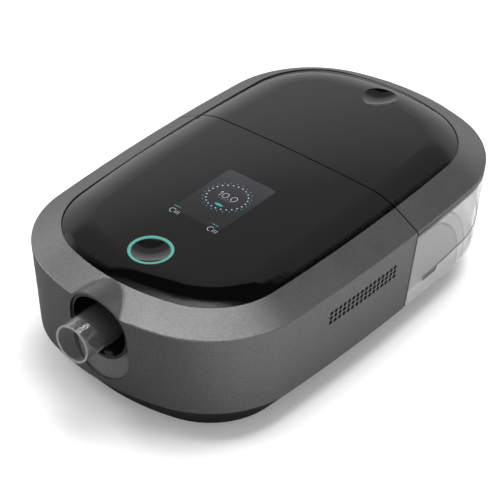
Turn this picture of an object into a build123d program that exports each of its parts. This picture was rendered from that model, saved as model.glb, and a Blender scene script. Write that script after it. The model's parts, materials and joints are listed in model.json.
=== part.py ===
from build123d import *
from math import cos, radians, sin, tan
import os

os.makedirs("parts", exist_ok=True)

# Sleep-therapy air machine with a built-in humidifier.
# Front (air outlet) is -Y, the user's right is +X, and Z = 0 is the surface it stands on.
# The origin is the middle of the footprint, air outlet included.

# --- Driving dimensions, mm ---

# Casing outline: two end arcs and two side arcs, with rounded corners
half_width = 85.5
half_length = 136.5
front_arc_radius = 140.0
rear_arc_radius = 133.0
side_arc_radius = 1195.0
front_corner_radius = 60.5
rear_corner_radius = 62.5

# Casing heights and the inset of the outline at each of them
foot_height = 1.6
base_inset = 18.4
skirt_z = 20.5
skirt_inset = 3.5
crease_z = 70.6
bezel_z = 79.1
bezel_inset = 16.2
wall = 2.4
bezel_drop = 2.5

# Crowned glossy top
crown_z = 84.3
crown_radius_x = 1300.0
crown_radius_y = 6000.0
crown_edge_radius = 44.0
crown_overhang = 24.6
panel_thickness = 2.2
panel_gap = 0.4
panel_seat_z = 76.9
panel_ledge = 3.5
ledge_thickness = 2.2

# Seam between the machine and the water tank unit
seam_y = 24.1
seam_lean = 4.2
seam_gap = 0.8

# Air outlet
outlet_z = 57.6
outlet_reach = 17.4
outlet_radius = 11.0
outlet_bore_radius = 9.6
outlet_spigot_radius = 10.5
outlet_spigot_length = 4.0
outlet_lip_radius = 0.4
well_mouth_radius = 19.8
well_wall = 1.7
well_depth = 22.0
well_back = 2.4
hood_radius = 21.2
hood_fold_radius = 3.0
fold_margin = 5.0
plate_radius = 19.8
plate_foot_z = 43.8
plate_sink = 1.0
plate_tilt = 6.0
plate_thickness = 2.0
plate_gap = 0.2
contact_angle = -68.0
contact_width = 6.0
contact_height = 3.0
contact_length = 12.0
contact_pin_radius = 0.5
crease_radius = 1.0

# Air grille in the right side
grille_columns = 16
grille_rows = 3
grille_pitch_y = 3.55
grille_pitch_z = 3.1
grille_hole_radius = 1.3
grille_y = -21.0
grille_z = 54.6

# Display and therapy button
display_width = 33.0
display_length = 48.0
display_y = -35.0
display_corner = 2.0
display_pane = 1.2
display_fit = 0.05
button_y = -93.6
ring_radius = 12.1
ring_width = 1.5
button_travel = 1.0
button_clearance = 0.3
button_dish_radius = 26.0
button_thickness = 2.6
button_stem_radius = 3.0

# Left side: filter drawer, card slot and power inlet
filter_y = -38.0
filter_z = 46.0
filter_length = 44.0
filter_height = 24.0
filter_corner = 4.0
filter_door_gap = 0.35
scoop_depth = 1.2
filter_depth = 16.0
card_slot_length = 25.0
card_slot_height = 2.8
card_gap = 1.2
card_y = 4.0
card_z = 52.0
power_y = -2.0
power_z = 32.0
power_recess_radius = 6.0
power_bore_radius = 3.3
power_pin_radius = 0.6
power_depth = 9.5

# Blower, its boards and the air duct
blower_x = 10.0
blower_y = -38.0
blower_radius = 36.0
blower_floor_z = 35.0
blower_height = 30.0
blower_wall = 2.0
blower_eye_radius = 14.0
impeller_radius = 28.0
impeller_height = 12.0
impeller_blades = 9
impeller_hub_radius = 7.0
impeller_plate = 1.5
blade_sweep = 50.0
shaft_radius = 1.6
shaft_fit = 0.04
motor_radius = 20.0
motor_height = 8.0
blower_grommet_radius = 4.5
duct_bore_radius = 9.6
duct_wall = 1.6
duct_bend_radius = 20.0
duct_x = -44.0
board_thickness = 1.6
board_y = -80.0
board_z = 13.0
board_length = 30.0
board_post_radius = 3.0
board_post_x = 38.0
board_post_y = 10.0
mount_gap = 0.25

# Base
base_floor = 2.5
base_wall = 3.0
base_gap = 0.3
base_step = 0.9
foot_radius = 8.0
foot_sink = 1.0
foot_x = 45.0
foot_y = 84.0

# Screw columns and the base screws
column_radius = 4.0
column_x = 58.0
column_front_y = -66.0
column_seam_y = 12.0
column_top_z = 46.0
column_rib = 2.0
deck_column_x = 56.0
deck_column_y = 92.0
screw_radius = 1.5
screw_clearance = 0.05
screw_head_radius = 2.9
screw_head_height = 1.8
screw_length = 16.0

# Air openings between the machine and the tank
port_x = 34.0
port_z = 50.0
port_radius = 10.5
port_sleeve = 2.0
port_seal_width = 2.2

# Humidifier bay
deck_thickness = 2.4
deck_skin = 0.6
tank_floor_gap = 0.4
heater_lip = 1.0
heater_y = 72.0
heater_thickness = 1.6
heater_fit = 0.3

# Water tank and its lid
tank_wall = 2.2
tank_rim_z = 68.3
tank_rim_thickness = 2.0
tank_rim_width = 12.5
lid_lip_z = 69.1
water_plate_radius = 43.0
water_plate_thickness = 0.8
seal_inset = 8.2
seal_width = 3.0
seal_gap = 0.3
frame_z = 71.6
frame_thickness = 2.0
tank_line_z = 33.15
tank_line_rise = 3.9
tank_line_width = 0.6
clip_front_y = 35.4
clip_rear_y = 50.9
clip_top_z = 33.6
clip_foot_z = 29.3
clip_slant = 0.9
clip_depth = 0.8
clip_fit = 0.15
hinge_radius = 2.1
hinge_pin_radius = 0.8
hinge_pin_length = 28.0
hinge_fit = 0.05
hinge_clearance = 0.4
hinge_inset = 2.0
hinge_lift = 0.4
hinge_neck = 3.4
lid_knuckle = 9.0
hinge_width = 46.0
thumb_y = 104.5
thumb_length = 26.0
thumb_width = 19.4
thumb_depth = 2.4

# --- Shared geometry ---

# The outlet overhangs the front, so the casing's own centre lies behind the origin.
casing_y = outlet_reach / 2
bezel_slope = bezel_inset / (bezel_z - crease_z)
wall_slope = skirt_inset / (crease_z - skirt_z)
ledge_z = panel_seat_z - ledge_thickness
hinge_y = half_length - hinge_inset
hinge_z = lid_lip_z + hinge_lift
span = 3 * half_length
heater_radius = water_plate_radius + heater_lip


def level(height):
    """Horizontal plane at a height, centred on the casing."""
    return Plane((0, casing_y, height))


def station(y):
    """Upright plane across the casing that faces forward, y behind the casing's centre."""
    return Plane((0, casing_y + y, 0), x_dir=(1, 0, 0), z_dir=(0, -1, 0))


def side(x):
    """Upright plane along the casing that faces right."""
    return Plane((x, casing_y, 0), x_dir=(0, 1, 0), z_dir=(1, 0, 0))


lean = radians(seam_lean)
seam_plane = Plane(
    (0, casing_y + seam_y, crease_z), x_dir=(1, 0, 0), z_dir=(0, cos(lean), -sin(lean))
)


def wall_inset(height):
    """Inset of the tapering side wall at a height between skirt and crease."""
    return (crease_z - height) * wall_slope


def cavity_inset(height):
    """Inset of the hollow under the bezel at a height above the crease."""
    return (height + bezel_drop - crease_z) * bezel_slope


def end_region(radius, centre_y, toward):
    """Everything behind one rounded end of the casing."""
    with BuildSketch(mode=Mode.PRIVATE) as region:
        with Locations((0, centre_y)):
            Circle(radius)
        with Locations((0, centre_y - toward * span / 2)):
            Rectangle(span, span)
    return region.sketch


def plan(inset):
    """Outline of the casing, drawn in by the inset on every side."""
    front_end = end_region(front_arc_radius - inset, front_arc_radius - half_length, -1)
    rear_end = end_region(rear_arc_radius - inset, half_length - rear_arc_radius, 1)
    with BuildSketch(mode=Mode.PRIVATE) as outline:
        with Locations((half_width - side_arc_radius, 0)):
            Circle(side_arc_radius - inset)
        with Locations((side_arc_radius - half_width, 0)):
            Circle(side_arc_radius - inset, mode=Mode.INTERSECT)
        add(front_end, mode=Mode.INTERSECT)
        add(rear_end, mode=Mode.INTERSECT)
        fillet(outline.vertices().group_by(Axis.Y)[0], front_corner_radius - inset)
        fillet(outline.vertices().group_by(Axis.Y)[-1], rear_corner_radius - inset)
    return outline.sketch


def rear_plan(inset, setback):
    """Outline of the tank half, drawn in by the inset and set back behind the seam."""
    with BuildSketch(mode=Mode.PRIVATE) as outline:
        add(plan(inset))
        with Locations((0, seam_y + setback - span / 2)):
            Rectangle(2 * span, span, mode=Mode.SUBTRACT)
        fillet(outline.vertices().group_by(Axis.Y)[0], tank_rim_width / 2)
    return outline.sketch


def casing_block(levels):
    """Solid through plans of the casing, given as (height, inset) from the bottom up."""
    with BuildPart(mode=Mode.PRIVATE) as block:
        for height, inset in levels:
            with BuildSketch(level(height)):
                add(plan(inset))
        loft(ruled=True)
    return block.part


def crowned_block(drop, inset):
    """Solid under the crowned top, lowered by drop and trimmed to a plan."""
    with BuildPart(mode=Mode.PRIVATE) as block:
        with BuildSketch(level(0)):
            add(plan(bezel_inset - crown_overhang))
        extrude(amount=crown_z + crown_overhang)
        end_z = crown_z - drop - span**2 / (2 * crown_radius_y)
        with BuildSketch(side(0)):
            with BuildLine():
                ThreePointArc((-span, end_z), (0, crown_z - drop), (span, end_z))
                Polyline((span, end_z), (span, 0), (-span, 0), (-span, end_z))
            make_face()
        crown_axis = Axis((0, casing_y, crown_z - drop - crown_radius_x), (0, 1, 0))
        revolve(axis=crown_axis, mode=Mode.INTERSECT)
        fillet(block.faces().sort_by(Axis.Z)[-1].edges(), crown_edge_radius)
        with BuildSketch(level(0)):
            add(plan(inset))
        extrude(amount=crown_z, mode=Mode.INTERSECT)
    return block.part


machine_outer = casing_block([(skirt_z, skirt_inset), (crease_z, 0), (bezel_z, bezel_inset)])
hollow_corner_z = crease_z + wall / bezel_slope - bezel_drop
machine_hollow = casing_block(
    [
        (skirt_z, skirt_inset + wall),
        (hollow_corner_z, wall),
        (ledge_z, cavity_inset(ledge_z)),
    ]
)
crown_skin = crowned_block(0, bezel_inset + panel_gap)
crown_under = crowned_block(panel_thickness, bezel_inset + panel_gap + panel_ledge)

# --- Base ---

base_rim_z = skirt_z - base_gap
base_rim_inset = skirt_inset + base_step
base_outer = casing_block([(foot_height, base_inset), (base_rim_z, base_rim_inset)])
foot_places = GridLocations(2 * foot_x, 2 * foot_y, 2, 2).locations
housing_screw_places = [
    Location((sign * column_x, y)) for sign in (-1, 1) for y in (column_front_y, column_seam_y)
]
deck_screw_places = [Location((sign * deck_column_x, deck_column_y)) for sign in (-1, 1)]
screw_places = housing_screw_places + deck_screw_places


def base_hollow_inset(height):
    """Inset of the base pan's flaring hollow at a height."""
    floor_inset = base_inset + base_wall - base_floor / 2
    rise = (height - foot_height - base_floor) / (base_rim_z - foot_height - base_floor)
    return floor_inset + rise * (base_rim_inset + base_wall - floor_inset)


base_floor_z = foot_height + base_floor
base_hollow = casing_block([(z, base_hollow_inset(z)) for z in (base_floor_z, base_rim_z)])
blower_centre = Location((blower_x, blower_y))
grommet_places = PolarLocations(impeller_radius, 3, start_angle=90).locations
post_top_z = (base_floor_z + blower_floor_z) / 2

with BuildPart() as base_pan:
    add(base_outer)
    add(base_hollow, mode=Mode.SUBTRACT)
    # bosses for the screws, the board and the blower's rubber mounts
    with BuildSketch(level(foot_height)):
        with Locations(housing_screw_places):
            Circle(column_radius)
    extrude(amount=base_rim_z - foot_height)
    with BuildSketch(level(foot_height)):
        with Locations(deck_screw_places):
            Circle(column_radius)
    extrude(amount=base_rim_z - foot_height - deck_thickness)
    with BuildSketch(level(foot_height)):
        with Locations((0, board_y)):
            with GridLocations(2 * board_post_x, 2 * board_post_y, 2, 2):
                Circle(board_post_radius)
    extrude(amount=board_z - foot_height)
    with BuildSketch(level(foot_height)):
        with Locations(blower_centre):
            with Locations(grommet_places):
                Circle(blower_grommet_radius)
    extrude(amount=post_top_z - foot_height)
    with BuildSketch(level(foot_height)):
        with Locations(screw_places):
            Circle(screw_radius + screw_clearance)
    extrude(amount=base_rim_z, mode=Mode.SUBTRACT)
    with BuildSketch(level(foot_height)):
        with Locations(screw_places):
            Circle(screw_head_radius + screw_clearance)
    extrude(amount=screw_head_height, mode=Mode.SUBTRACT)
    with BuildSketch(level(foot_height)):
        with Locations(foot_places):
            Circle(foot_radius)
    extrude(amount=foot_sink, mode=Mode.SUBTRACT)
base_pan.part.label = "base_pan"
export_step(base_pan.part, "parts/base_pan.step")

with BuildPart() as rubber_feet:
    with BuildSketch(level(0)):
        with Locations(foot_places):
            Circle(foot_radius)
    extrude(amount=foot_height + foot_sink)
    fillet(rubber_feet.edges().group_by(Axis.Z)[0], foot_height / 3)
rubber_feet.part.label = "rubber_feet"
export_step(rubber_feet.part, "parts/rubber_feet.step")

with BuildPart() as base_screws:
    with BuildSketch(level(foot_height)):
        with Locations(screw_places):
            Circle(screw_head_radius)
    extrude(amount=screw_head_height)
    with BuildSketch(level(foot_height)):
        with Locations(housing_screw_places):
            Circle(screw_radius)
    extrude(amount=base_rim_z - foot_height + screw_length)
    with BuildSketch(level(foot_height)):
        with Locations(deck_screw_places):
            Circle(screw_radius)
    extrude(amount=base_rim_z - foot_height - deck_skin)
    with BuildSketch(level(foot_height)):
        with Locations(screw_places):
            RegularPolygon(screw_radius, 6)
    extrude(amount=screw_head_height / 2, mode=Mode.SUBTRACT)
base_screws.part.label = "base_screws"
export_step(base_screws.part, "parts/base_screws.step")

# --- Front housing ---

# Half-round hood over the air outlet, flush with the tapering front wall
hood_top_z = outlet_z + hood_radius
fold_top_z = bezel_z + fold_margin
fold_levels = [
    (skirt_z, skirt_inset),
    (crease_z, 0),
    (fold_top_z, (fold_top_z - crease_z) * bezel_slope),
]
front_face = casing_block([(skirt_z, skirt_inset), (fold_top_z, wall_inset(fold_top_z))])


def outlet_boss(radius):
    """Upright disc over the air outlet, carried back through the bezel."""
    with BuildPart(mode=Mode.PRIVATE) as boss:
        with BuildSketch(station(-half_length - wall)):
            with Locations((0, outlet_z)):
                Circle(radius)
        extrude(amount=-2 * bezel_inset - wall)
    return boss.part


# Casing with a rounded crease, which runs out at the hood's fold
with BuildPart() as creased_form:
    add(casing_block(fold_levels))
    crease_edges = creased_form.edges().filter_by_position(Axis.Z, crease_z, crease_z)
    fillet(crease_edges, crease_radius)
    add(outlet_boss(hood_radius + hood_fold_radius))

# Outer form of the housing: the hood runs into the bezel in a soft fold
fold_apex = (0, casing_y - half_length + (hood_top_z - crease_z) * bezel_slope, hood_top_z)
with BuildPart() as housing_form:
    add(casing_block(fold_levels))
    add(outlet_boss(hood_radius))
    fillet(housing_form.edges().sort_by_distance(fold_apex)[0], hood_fold_radius)
    add(front_face, mode=Mode.INTERSECT)
    add(creased_form.part, mode=Mode.INTERSECT)
    split(bisect_by=level(bezel_z), keep=Keep.BOTTOM)

with BuildPart() as front_housing:
    add(housing_form.part)
    add(machine_hollow, mode=Mode.SUBTRACT)
    with BuildSketch(level(panel_seat_z)):
        add(plan(bezel_inset))
    extrude(amount=crown_z, mode=Mode.SUBTRACT)
    with BuildSketch(level(ledge_z)):
        add(plan(bezel_inset + panel_ledge))
    extrude(amount=crown_z, mode=Mode.SUBTRACT)
    # screw columns, each tied to the side wall by a rib
    with BuildSketch(level(skirt_z)):
        with Locations(housing_screw_places):
            Circle(column_radius)
        for s in (-1, 1):
            for y in (column_front_y, column_seam_y):
                with Locations((s * (column_x + half_width) / 2, y)):
                    Rectangle(half_width - column_x, column_rib)
    extrude(amount=column_top_z - skirt_z)
    add(housing_form.part, mode=Mode.INTERSECT)
    with BuildSketch(level(skirt_z)):
        with Locations(screw_places):
            Circle(screw_radius + screw_clearance)
    extrude(amount=column_top_z - skirt_z - wall, mode=Mode.SUBTRACT)
    # outlet mouth and the long recess under it
    with BuildSketch(station(-half_length - wall)):
        with Locations((0, outlet_z)):
            Circle(well_mouth_radius)
        with Locations((0, plate_foot_z)):
            Circle(plate_radius)
        with Locations((0, (outlet_z + plate_foot_z) / 2)):
            Rectangle(2 * plate_radius, outlet_z - plate_foot_z)
    extrude(amount=-well_depth - 2 * wall, mode=Mode.SUBTRACT)
    # grille in the right side
    with BuildSketch(side(half_width - 2 * wall)):
        with Locations((grille_y, grille_z)):
            with GridLocations(grille_pitch_y, grille_pitch_z, grille_columns, grille_rows):
                Circle(grille_hole_radius)
    extrude(amount=3 * wall, mode=Mode.SUBTRACT)
    # filter opening, card slot and power inlet in the left side
    with BuildSketch(side(-half_width - wall)):
        with Locations((filter_y, filter_z)):
            RectangleRounded(filter_length, filter_height, filter_corner)
        with Locations((card_y, card_z)):
            SlotOverall(card_slot_length, card_slot_height)
        with Locations((power_y, power_z)):
            Circle(power_recess_radius)
    extrude(amount=4 * wall, mode=Mode.SUBTRACT)
    split(bisect_by=seam_plane.offset(-seam_gap / 2), keep=Keep.BOTTOM)
front_housing.part.label = "front_housing"
export_step(front_housing.part, "parts/front_housing.step")

# --- Air outlet ---

# Tapering faces that the outlet's trim follows, sunk below the wall
trim_levels = [(skirt_z, skirt_inset), (hood_top_z, wall_inset(hood_top_z))]
trim_front = casing_block([(z, inset + plate_sink) for z, inset in trim_levels])
well_radius = well_mouth_radius - plate_gap
well_bore_radius = well_radius - well_wall
well_back_y = well_depth - half_length

with BuildPart() as outlet_well:
    with BuildSketch(station(-half_length)):
        with Locations((0, outlet_z)):
            Circle(well_radius)
    extrude(amount=-well_depth - well_back)
    with BuildSketch(station(-half_length)):
        with Locations((0, outlet_z)):
            Circle(well_bore_radius)
    extrude(amount=-well_depth, mode=Mode.SUBTRACT)
    with BuildSketch(station(-half_length)):
        with Locations((0, outlet_z)):
            Circle(outlet_spigot_radius + plate_gap / 2)
    extrude(amount=-well_depth - well_back, mode=Mode.SUBTRACT)
    add(trim_front, mode=Mode.INTERSECT)
    # flat top where the panel passes over it
    with BuildSketch(level(panel_seat_z - mount_gap)):
        add(plan(bezel_inset))
    extrude(amount=crown_z, mode=Mode.SUBTRACT)
outlet_well.part.label = "outlet_well"
export_step(outlet_well.part, "parts/outlet_well.step")

# Long plate that fills the recess under the mouth and leans in towards it
plate_tilt_plane = Plane(
    (0, casing_y - half_length + plate_sink + skirt_inset, plate_foot_z - plate_radius),
    x_dir=(1, 0, 0),
    z_dir=(0, -cos(radians(plate_tilt)), sin(radians(plate_tilt))),
)
with BuildPart() as outlet_plate:
    with BuildSketch(plate_tilt_plane):
        with Locations((0, plate_radius)):
            Circle(plate_radius - plate_gap)
        with Locations((0, (outlet_z - plate_foot_z) / 2 + plate_radius)):
            Rectangle(2 * (plate_radius - plate_gap), outlet_z - plate_foot_z)
    extrude(amount=-plate_thickness)
    with BuildSketch(station(-half_length - wall)):
        with Locations((0, outlet_z)):
            Circle(well_radius + plate_gap / 2)
        with Locations((0, outlet_z + plate_radius / 4)):
            Rectangle(4 * plate_radius, plate_radius)
    extrude(amount=-well_depth - wall, mode=Mode.SUBTRACT)
outlet_plate.part.label = "outlet_plate"
export_step(outlet_plate.part, "parts/outlet_plate.step")

with BuildPart() as outlet_tube:
    with BuildSketch(Plane((0, casing_y, outlet_z), x_dir=(0, -1, 0), z_dir=(-1, 0, 0))):
        rim_y = half_length + outlet_reach
        seat_y = half_length - well_depth + plate_gap
        with BuildLine():
            Polyline(
                (seat_y - outlet_spigot_length, outlet_bore_radius),
                (rim_y, outlet_bore_radius),
                (rim_y, outlet_radius),
                (seat_y, outlet_radius),
                (seat_y, outlet_spigot_radius),
                (seat_y - outlet_spigot_length, outlet_spigot_radius),
                (seat_y - outlet_spigot_length, outlet_bore_radius),
            )
        make_face()
    revolve(axis=Axis((0, casing_y, outlet_z), (0, 1, 0)))
    fillet(outlet_tube.edges().sort_by(Axis.Y)[:2], outlet_lip_radius)
outlet_tube.part.label = "outlet_tube"
export_step(outlet_tube.part, "parts/outlet_tube.step")

# Contact block for a heated hose, on the well's inner wall
contact_turn = Location((0, 0, 0), (0, 0, contact_angle))
with BuildPart() as hose_contact:
    with BuildSketch(station(-half_length + plate_sink + plate_thickness)):
        with Locations((0, outlet_z)):
            with Locations(contact_turn):
                with Locations((well_bore_radius - contact_height / 2, 0)):
                    Rectangle(contact_height, contact_width)
    extrude(amount=-contact_length)
    with BuildSketch(station(0)):
        with Locations((0, outlet_z)):
            Circle(well_bore_radius - display_fit)
    extrude(amount=half_length, mode=Mode.INTERSECT)
    with BuildSketch(station(-half_length + plate_sink + plate_thickness)):
        with Locations((0, outlet_z)):
            with Locations(contact_turn):
                with Locations((well_bore_radius - contact_height / 2, 0)):
                    with GridLocations(contact_height, contact_width / 3, 1, 3):
                        Circle(contact_pin_radius)
    extrude(amount=-contact_length / 2, mode=Mode.SUBTRACT)
hose_contact.part.label = "hose_contact"
export_step(hose_contact.part, "parts/hose_contact.step")

# --- Top panel, display and therapy button ---

boss_x = ring_radius + 2 * button_stem_radius
boss_radius = button_stem_radius - display_fit
ring_foot_z = panel_seat_z + panel_thickness
pane_z = crown_z - panel_thickness / 2
flange_radius = ring_radius + ring_width
switch_height = board_thickness - button_clearance
button_board_z = panel_seat_z - 2 * button_thickness
stem_foot_z = button_board_z + switch_height + button_travel + button_clearance
button_inner_radius = ring_radius - ring_width - button_clearance

with BuildPart() as panel_hollow:
    add(crown_under)
    split(bisect_by=seam_plane.offset(-seam_gap / 2 - panel_thickness), keep=Keep.BOTTOM)

with BuildPart() as top_panel:
    add(crown_skin)
    add(panel_hollow.part, mode=Mode.SUBTRACT)
    split(bisect_by=level(panel_seat_z), keep=Keep.TOP)
    with BuildSketch(level(button_board_z + mount_gap)):
        with Locations((-boss_x, button_y), (boss_x, button_y)):
            Circle(boss_radius)
    extrude(amount=crown_z - button_board_z - panel_thickness)
    with BuildSketch(level(panel_seat_z)):
        with Locations((0, button_y)):
            Circle(ring_radius + display_fit)
    extrude(amount=crown_z, mode=Mode.SUBTRACT)
    with BuildSketch(level(pane_z - display_pane)):
        with Locations((0, display_y)):
            RectangleRounded(display_width, display_length, display_corner)
    extrude(amount=crown_z, mode=Mode.SUBTRACT)
    with BuildSketch(level(panel_seat_z)):
        with Locations((0, display_y)):
            Rectangle(display_width - 2 * display_corner, display_length - 2 * display_corner)
    extrude(amount=crown_z, mode=Mode.SUBTRACT)
    split(bisect_by=seam_plane.offset(-seam_gap / 2), keep=Keep.BOTTOM)
top_panel.part.label = "top_panel"
export_step(top_panel.part, "parts/top_panel.step")

with BuildPart() as display_window:
    add(crown_skin)
    with BuildSketch(level(pane_z - display_pane + display_fit)):
        with Locations((0, display_y)):
            RectangleRounded(
                display_width - 2 * display_fit,
                display_length - 2 * display_fit,
                display_corner - display_fit,
            )
    extrude(amount=crown_z, mode=Mode.INTERSECT)
display_window.part.label = "display_window"
export_step(display_window.part, "parts/display_window.step")

display_module_z = pane_z - 3 * display_pane - mount_gap
with BuildPart() as display_module:
    with BuildSketch(level(display_module_z)):
        with Locations((0, display_y)):
            RectangleRounded(
                display_width - 3 * display_corner,
                display_length - 3 * display_corner,
                display_corner / 2,
            )
    extrude(amount=2 * display_pane + mount_gap)
    with BuildSketch(level(display_module_z - board_thickness)):
        with Locations((0, display_y)):
            RectangleRounded(
                display_width + display_corner, display_length + display_corner, display_corner
            )
    extrude(amount=board_thickness)
display_module.part.label = "display_module"
export_step(display_module.part, "parts/display_module.step")

with BuildPart() as light_ring:
    add(crown_skin)
    with BuildSketch(level(ring_foot_z)):
        with Locations((0, button_y)):
            Circle(ring_radius)
    extrude(amount=crown_z, mode=Mode.INTERSECT)
    with BuildSketch(level(ring_foot_z)):
        with Locations((0, button_y)):
            Circle(flange_radius)
    extrude(amount=panel_thickness / 2)
    with BuildSketch(level(ring_foot_z)):
        with Locations((0, button_y)):
            Circle(ring_radius - ring_width)
    extrude(amount=crown_z, mode=Mode.SUBTRACT)
light_ring.part.label = "light_ring"
export_step(light_ring.part, "parts/light_ring.step")

button_rim_z = crown_z - panel_thickness / 2 + display_fit
with BuildPart() as therapy_button:
    with BuildSketch(Plane((0, casing_y + button_y, 0), x_dir=(1, 0, 0), z_dir=(0, -1, 0))):
        dish_z = button_rim_z - button_inner_radius**2 / (2 * button_dish_radius)
        skirt_foot_z = ring_foot_z - button_clearance
        with BuildLine():
            ThreePointArc(
                (0, dish_z),
                (button_inner_radius / 2, dish_z + (button_rim_z - dish_z) / 4),
                (button_inner_radius, button_rim_z),
            )
            Polyline(
                (button_inner_radius, button_rim_z),
                (button_inner_radius, skirt_foot_z),
                (ring_radius - button_clearance, skirt_foot_z),
                (ring_radius - button_clearance, skirt_foot_z - panel_thickness / 2),
                (button_stem_radius, skirt_foot_z - panel_thickness / 2),
                (button_stem_radius, stem_foot_z),
                (0, stem_foot_z),
                (0, dish_z),
            )
        make_face()
    revolve(axis=Axis((0, casing_y + button_y, 0), (0, 0, 1)))
therapy_button.part.label = "therapy_button"
export_step(therapy_button.part, "parts/therapy_button.step")

with BuildPart() as button_board:
    with BuildSketch(level(button_board_z - board_thickness)):
        with Locations((0, button_y)):
            RectangleRounded(
                2 * (boss_x + button_stem_radius), 2 * ring_radius, display_corner
            )
    extrude(amount=board_thickness)
    with BuildSketch(level(button_board_z)):
        with Locations((0, button_y)):
            Rectangle(2 * button_stem_radius, 2 * button_stem_radius)
    extrude(amount=switch_height)
button_board.part.label = "button_board"
export_step(button_board.part, "parts/button_board.step")

# --- Bulkhead, duct and blower ---

bulkhead_front = -seam_gap / 2 - mount_gap - wall
bulkhead_y = seam_y + bulkhead_front - (crease_z - port_z) * tan(lean)
sleeve_radius = duct_bore_radius + duct_wall + plate_gap

# Everything inside the casing up to the panel's seat, a small gap in from the walls
with BuildPart() as casing_filling:
    hollow_levels = [
        (skirt_z, skirt_inset + wall + mount_gap),
        (hollow_corner_z, wall + mount_gap),
        (ledge_z - mount_gap, cavity_inset(ledge_z)),
    ]
    add(casing_block(hollow_levels))
    with BuildSketch(level(ledge_z - mount_gap)):
        add(plan(bezel_inset + panel_ledge + mount_gap))
    extrude(amount=ledge_thickness)

with BuildPart() as bulkhead:
    add(casing_filling.part)
    split(bisect_by=seam_plane.offset(bulkhead_front), keep=Keep.TOP)
    split(bisect_by=seam_plane.offset(bulkhead_front + wall), keep=Keep.BOTTOM)
    with BuildSketch(station(bulkhead_y)):
        with Locations((-port_x, port_z), (port_x, port_z)):
            Circle(sleeve_radius + port_sleeve)
    extrude(amount=2 * port_sleeve + wall / 2)
    with BuildSketch(station(bulkhead_y)):
        with Locations((-port_x, port_z), (port_x, port_z)):
            Circle(port_radius)
    extrude(amount=2 * wall, both=True, mode=Mode.SUBTRACT)
    with BuildSketch(station(bulkhead_y - port_sleeve)):
        with Locations((-port_x, port_z), (port_x, port_z)):
            Circle(sleeve_radius)
    extrude(amount=4 * port_sleeve, mode=Mode.SUBTRACT)
bulkhead.part.label = "bulkhead"
export_step(bulkhead.part, "parts/bulkhead.step")

# Rubber rings around the two air openings, on the side of the tank
port_places = [
    Location((sign * port_x, (crease_z - port_z) / cos(lean))) for sign in (-1, 1)
]
with BuildPart() as port_seals:
    with BuildSketch(seam_plane.offset(bulkhead_front + wall)):
        with Locations(port_places):
            Circle(port_radius + 2 * port_seal_width)
            Circle(port_radius + port_seal_width, mode=Mode.SUBTRACT)
    extrude(amount=seam_gap + mount_gap - seal_gap)
port_seals.part.label = "port_seals"
export_step(port_seals.part, "parts/port_seals.step")

duct_start_y = well_back_y + outlet_spigot_length
duct_end_y = bulkhead_y - port_sleeve - plate_gap
with BuildPart() as air_duct:
    with BuildLine(mode=Mode.PRIVATE) as duct_path:
        FilletPolyline(
            (0, casing_y + duct_start_y, outlet_z),
            (0, casing_y + duct_start_y + duct_bend_radius, outlet_z),
            (duct_x, casing_y + duct_start_y + 2 * duct_bend_radius, outlet_z),
            (duct_x, casing_y + blower_y + blower_radius, port_z),
            (-port_x, casing_y + duct_end_y - duct_bore_radius, port_z),
            (-port_x, casing_y + duct_end_y, port_z),
            radius=duct_bend_radius / 2,
        )
    with BuildSketch(Plane((0, casing_y + duct_start_y, outlet_z), z_dir=(0, 1, 0))):
        Circle(duct_bore_radius + duct_wall)
        Circle(duct_bore_radius, mode=Mode.SUBTRACT)
    sweep(path=duct_path.line)
air_duct.part.label = "air_duct"
export_step(air_duct.part, "parts/air_duct.step")

blower_split_z = blower_floor_z + blower_height / 2
blower_outlet_end = bulkhead_y - port_sleeve - plate_gap


def scroll(grow):
    """Plan of the blower's scroll, opened towards the bulkhead, grown by a wall."""
    with BuildSketch(mode=Mode.PRIVATE) as outline:
        with Locations((blower_x, blower_y)):
            Circle(blower_radius - blower_wall + grow)
        with Locations((port_x, (blower_y + blower_outlet_end) / 2 - port_sleeve)):
            Rectangle(
                2 * (duct_bore_radius - blower_wall + grow),
                blower_outlet_end - blower_y - 2 * port_sleeve,
            )
    return outline.sketch


blower_shell = scroll(blower_wall)
blower_hollow = scroll(0)
mouth_start_y = blower_outlet_end - 2 * port_sleeve
with BuildPart() as blower_mouth:
    with BuildSketch(station(mouth_start_y)):
        with Locations((port_x, port_z)):
            Circle(duct_bore_radius + duct_wall)
    extrude(amount=-(blower_outlet_end - mouth_start_y))
    with BuildSketch(station(mouth_start_y - blower_wall)):
        with Locations((port_x, port_z)):
            Circle(duct_bore_radius - blower_wall)
    extrude(amount=-(blower_outlet_end - mouth_start_y + blower_wall), mode=Mode.SUBTRACT)

with BuildPart() as blower_case:
    with BuildSketch(level(blower_floor_z)):
        add(blower_shell)
    extrude(amount=blower_height / 2)
    add(blower_mouth.part)
    split(bisect_by=level(blower_split_z), keep=Keep.BOTTOM)
    with BuildSketch(level(blower_floor_z + blower_wall)):
        add(blower_hollow)
    extrude(amount=blower_height, mode=Mode.SUBTRACT)
    with BuildSketch(level(blower_floor_z)):
        with Locations(blower_centre):
            Circle(shaft_radius + shaft_fit)
    extrude(amount=blower_height, mode=Mode.SUBTRACT)
    with BuildSketch(station(mouth_start_y - blower_wall)):
        with Locations((port_x, port_z)):
            Circle(duct_bore_radius - blower_wall)
    extrude(amount=-4 * port_sleeve, mode=Mode.SUBTRACT)
blower_case.part.label = "blower_case"
export_step(blower_case.part, "parts/blower_case.step")

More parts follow.
